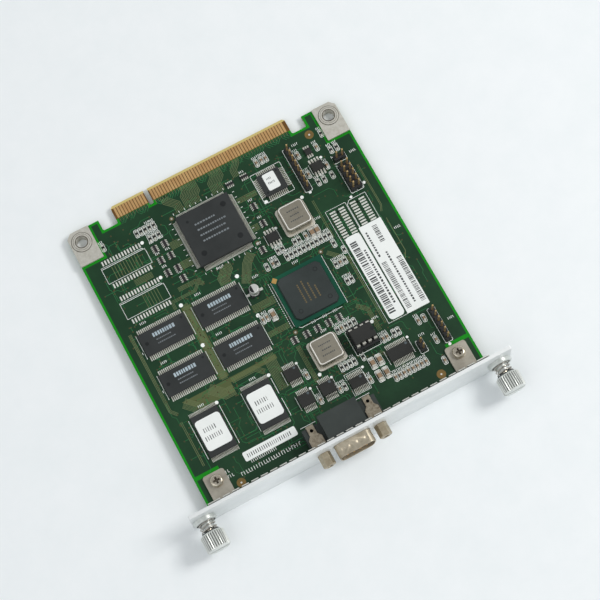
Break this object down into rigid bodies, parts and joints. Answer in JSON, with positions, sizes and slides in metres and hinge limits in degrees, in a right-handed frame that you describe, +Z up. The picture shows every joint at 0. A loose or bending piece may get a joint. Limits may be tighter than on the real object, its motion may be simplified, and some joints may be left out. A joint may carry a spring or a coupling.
{
  "type": "management module",
  "caption": "Plug-in circuit card behind a metal front panel, with an edge connector at the back, a serial connector and captive thumbscrews.",
  "frame": {"origin": "middle of the edge connector's end, at half the card's thickness", "axes": "+Y towards the back, the way the module is pushed into its chassis; +Z up from the card's parts side; +X right seen from the front"},
  "size_m": [0.142, 0.1481, 0.021],
  "materials": {
    "black_moulding": "fine matt moulding",
    "bright_steel": "bright plating",
    "can_metal": "satin nickel can",
    "capacitor_can": "drawn aluminium",
    "card": "green solder mask over a laminated card",
    "ceramic": "tan ceramic",
    "chip_moulding": "matt epoxy moulding",
    "dark_washer": "dark fibre",
    "gold": "gold plating",
    "knob_metal": "straight knurl, bright nickel",
    "nickel_plate": "satin nickel plating",
    "panel_aluminium": "fine satin",
    "paper": "white paper",
    "resistor_glaze": "dark glaze",
    "socket_moulding": "matt moulding",
    "spring_steel": "bright spring finish",
    "substrate": "dark green laminate",
    "tin": "tin plating",
    "tin_shell": "tin plating"
  },
  "bodies": {
    "root": {"boot_chip": "chip_moulding", "boot_leads": "tin", "boot_socket": "socket_moulding", "bracket_nuts": "bright_steel", "bracket_screws": "bright_steel", "bridge_chip": "chip_moulding", "bridge_leads": "tin", "bulk_capacitors": "ceramic", "chip_capacitors": "ceramic", "chip_resistors": "resistor_glaze", "circuit_board": "card", "clock_bases": "can_metal", "clock_cans": "can_metal", "controller_chip": "chip_moulding", "controller_leads": "tin", "corner_bushes": "nickel_plate", "driver_chips": "chip_moulding", "driver_leads": "tin", "edge_contacts": "gold", "flash_chips": "chip_moulding", "flash_leads": "tin", "front_panel": "panel_aluminium", "gate_chips": "chip_moulding", "gate_leads": "tin", "header_bodies": "black_moulding", "header_pins": "gold", "jackscrews": "bright_steel", "left_bracket": "nickel_plate", "left_corner_plate": "nickel_plate", "left_ferrule": "panel_aluminium", "left_spring": "spring_steel", "memory_chips": "chip_moulding", "memory_leads": "tin", "paper_labels": "paper", "port_housing": "black_moulding", "port_insert": "black_moulding", "port_locks": "tin_shell", "port_pins": "gold", "port_shell": "tin_shell", "processor_balls": "tin", "processor_cap": "chip_moulding", "processor_substrate": "substrate", "reset_chip": "chip_moulding", "reset_leads": "tin", "resistor_arrays": "resistor_glaze", "right_bracket": "nickel_plate", "right_corner_plate": "nickel_plate", "right_ferrule": "panel_aluminium", "right_spring": "spring_steel", "screening_strip": "spring_steel", "smoother_base": "black_moulding", "smoother_can": "capacitor_can", "socket_contacts": "tin"},
    "left_plunger": {"left_washer": "dark_washer"},
    "left_screw": {"left_captive_screw": "bright_steel", "left_knob": "knob_metal"},
    "right_plunger": {"right_washer": "dark_washer"},
    "right_screw": {"right_captive_screw": "bright_steel", "right_knob": "knob_metal"}
  },
  "joints": [
    {"name": "left_screw_push", "type": "slide", "parent": "root", "child": "left_plunger", "axis": [0, 1, 0], "range_m": [0, 0.0028], "stiffness_N_per_m": 400, "springref_m": -0.004, "deforming": ["left_spring"]},
    {"name": "left_screw_turn", "type": "hinge", "parent": "left_plunger", "child": "left_screw", "pos_m": [-0.06575, -0.1346, 0.00579], "axis": [0, 1, 0], "continuous": true},
    {"name": "right_screw_push", "type": "slide", "parent": "root", "child": "right_plunger", "axis": [0, 1, 0], "range_m": [0, 0.0028], "stiffness_N_per_m": 400, "springref_m": -0.004, "deforming": ["right_spring"]},
    {"name": "right_screw_turn", "type": "hinge", "parent": "right_plunger", "child": "right_screw", "pos_m": [0.06575, -0.1346, 0.00579], "axis": [0, 1, 0], "continuous": true}
  ]
}
